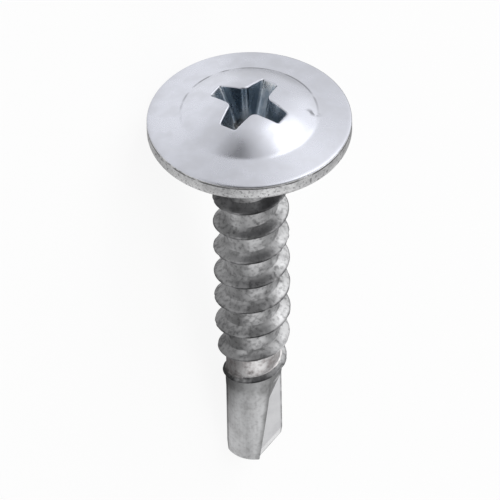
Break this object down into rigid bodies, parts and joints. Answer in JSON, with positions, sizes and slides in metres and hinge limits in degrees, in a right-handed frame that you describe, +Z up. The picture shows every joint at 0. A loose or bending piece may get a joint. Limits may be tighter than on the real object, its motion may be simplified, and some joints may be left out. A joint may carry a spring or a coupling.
{
  "type": "self drilling screw",
  "caption": "Wafer head self drilling screw with a cross recess, a coarse V thread and a fluted drill point, lying on its side.",
  "frame": {"origin": "middle of the bounding box, on the surface that the screw lies on", "axes": "the shank runs along X with the head towards -X, the head end raised by its flange; +Z up"},
  "size_m": [0.0262, 0.0112, 0.0111],
  "materials": {
    "zinc_plated_steel": "bright zinc plating"
  },
  "bodies": {
    "root": {"screw": "zinc_plated_steel"}
  },
  "joints": []
}
